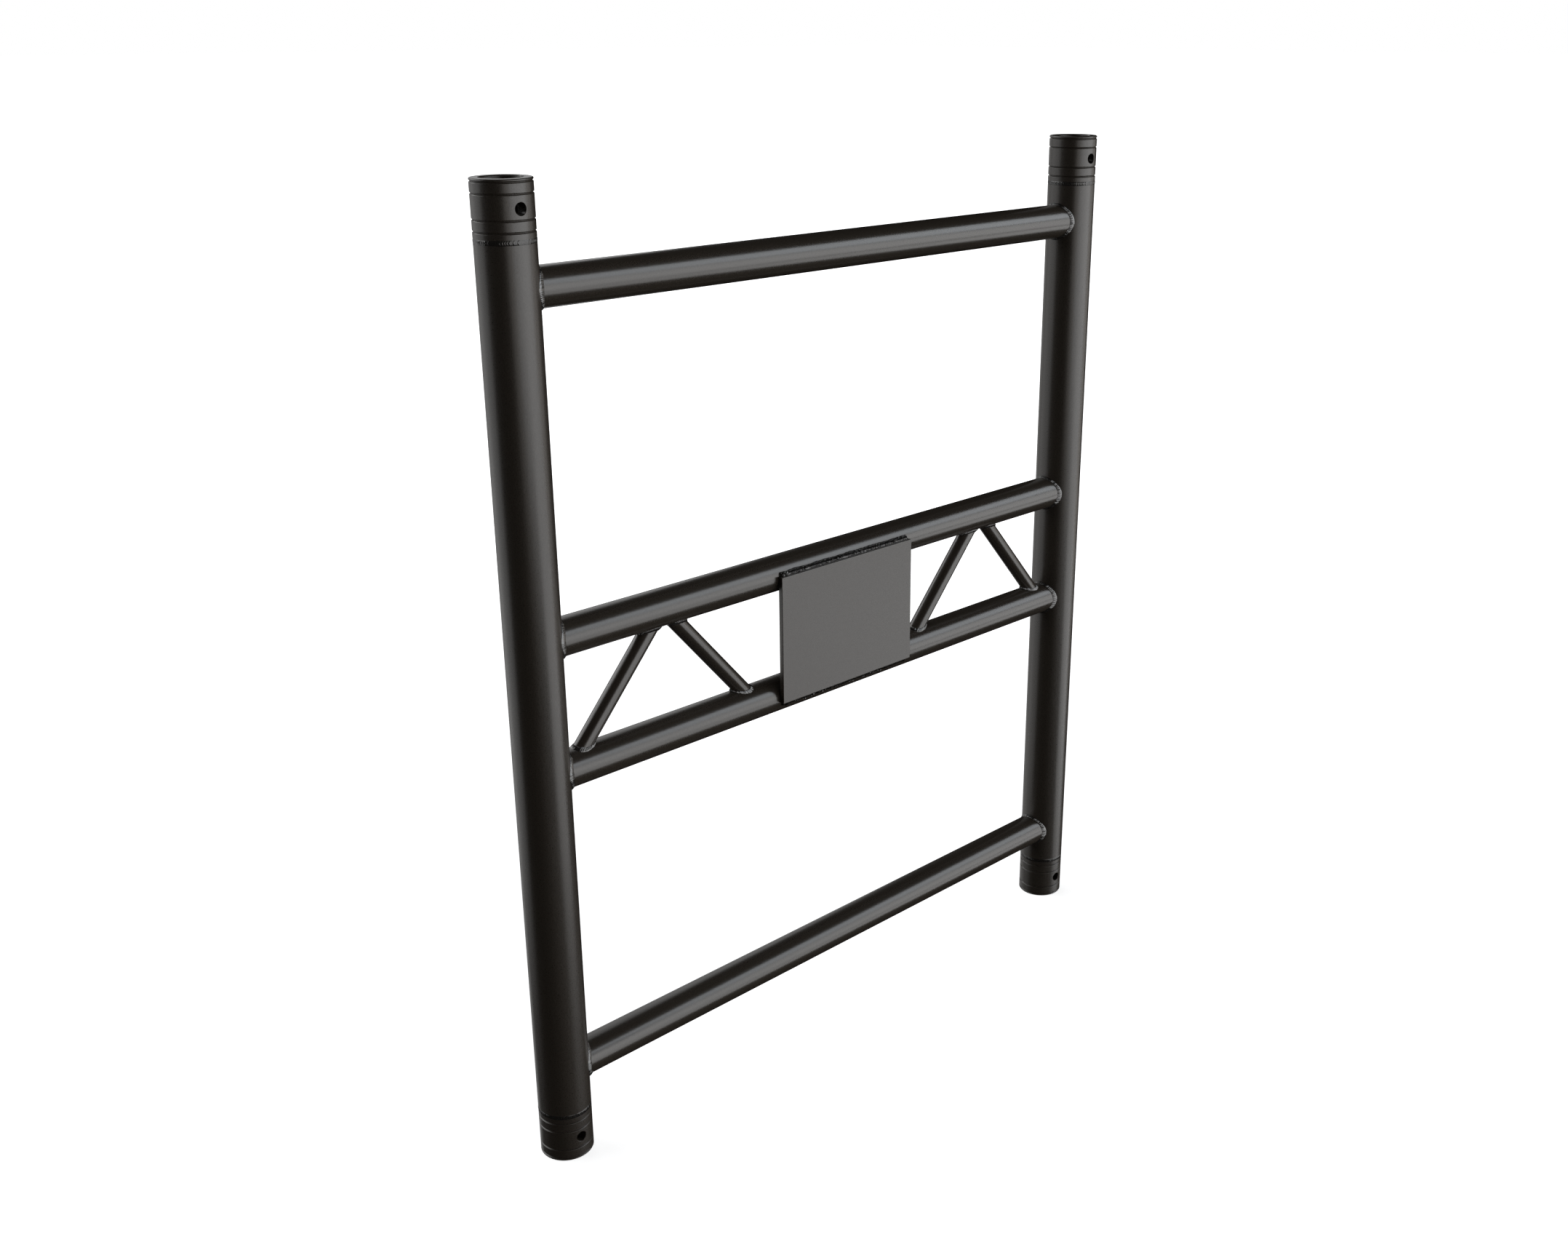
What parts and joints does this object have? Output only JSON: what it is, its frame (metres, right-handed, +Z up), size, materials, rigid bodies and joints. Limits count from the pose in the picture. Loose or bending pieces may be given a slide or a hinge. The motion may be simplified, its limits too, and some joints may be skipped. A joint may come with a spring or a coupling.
{
  "type": "lighting truss section",
  "caption": "Ladder-shaped lighting truss section of black-coated tube, with coupler sockets at the chord ends, cross tubes, diagonal braces and a flat plate welded across the middle.",
  "frame": {"origin": "middle of the footprint, on the plane that the lower chord ends stand on", "axes": "+Z up along the chords, +X from the left chord to the right one, -Y the front, where the plate is"},
  "size_m": [0.765, 0.05, 0.9],
  "materials": {
    "chord_paint": "satin black powder coat",
    "receiver_paint": "satin black powder coat over machined grooves",
    "tube_paint": "smooth black powder coat",
    "plate_paint": "satin black powder coat",
    "weld_paint": "glossy black powder coat over rippled weld beads"
  },
  "bodies": {
    "root": {"chord_left": "chord_paint", "chord_right": "chord_paint", "coupler_receiver_top_left": "receiver_paint", "ring_weld_top_left": "weld_paint", "coupler_receiver_top_right": "receiver_paint", "ring_weld_top_right": "weld_paint", "coupler_receiver_bottom_left": "receiver_paint", "ring_weld_bottom_left": "weld_paint", "coupler_receiver_bottom_right": "receiver_paint", "ring_weld_bottom_right": "weld_paint", "cross_tube_top": "tube_paint", "cross_weld_top_left": "weld_paint", "cross_weld_top_right": "weld_paint", "cross_tube_upper": "tube_paint", "cross_weld_upper_left": "weld_paint", "cross_weld_upper_right": "weld_paint", "cross_tube_lower": "tube_paint", "cross_weld_lower_left": "weld_paint", "cross_weld_lower_right": "weld_paint", "cross_tube_bottom": "tube_paint", "cross_weld_bottom_left": "weld_paint", "cross_weld_bottom_right": "weld_paint", "diagonal_left_outer": "tube_paint", "diagonal_weld_left_outer_foot": "weld_paint", "diagonal_weld_left_outer_head": "weld_paint", "diagonal_left_inner": "tube_paint", "diagonal_weld_left_inner_foot": "weld_paint", "diagonal_weld_left_inner_head": "weld_paint", "diagonal_right_inner": "tube_paint", "diagonal_weld_right_inner_foot": "weld_paint", "diagonal_weld_right_inner_head": "weld_paint", "diagonal_right_outer": "tube_paint", "diagonal_weld_right_outer_foot": "weld_paint", "diagonal_weld_right_outer_head": "weld_paint", "mounting_plate": "plate_paint", "plate_weld_top": "weld_paint", "plate_weld_bottom": "weld_paint"}
  },
  "joints": []
}
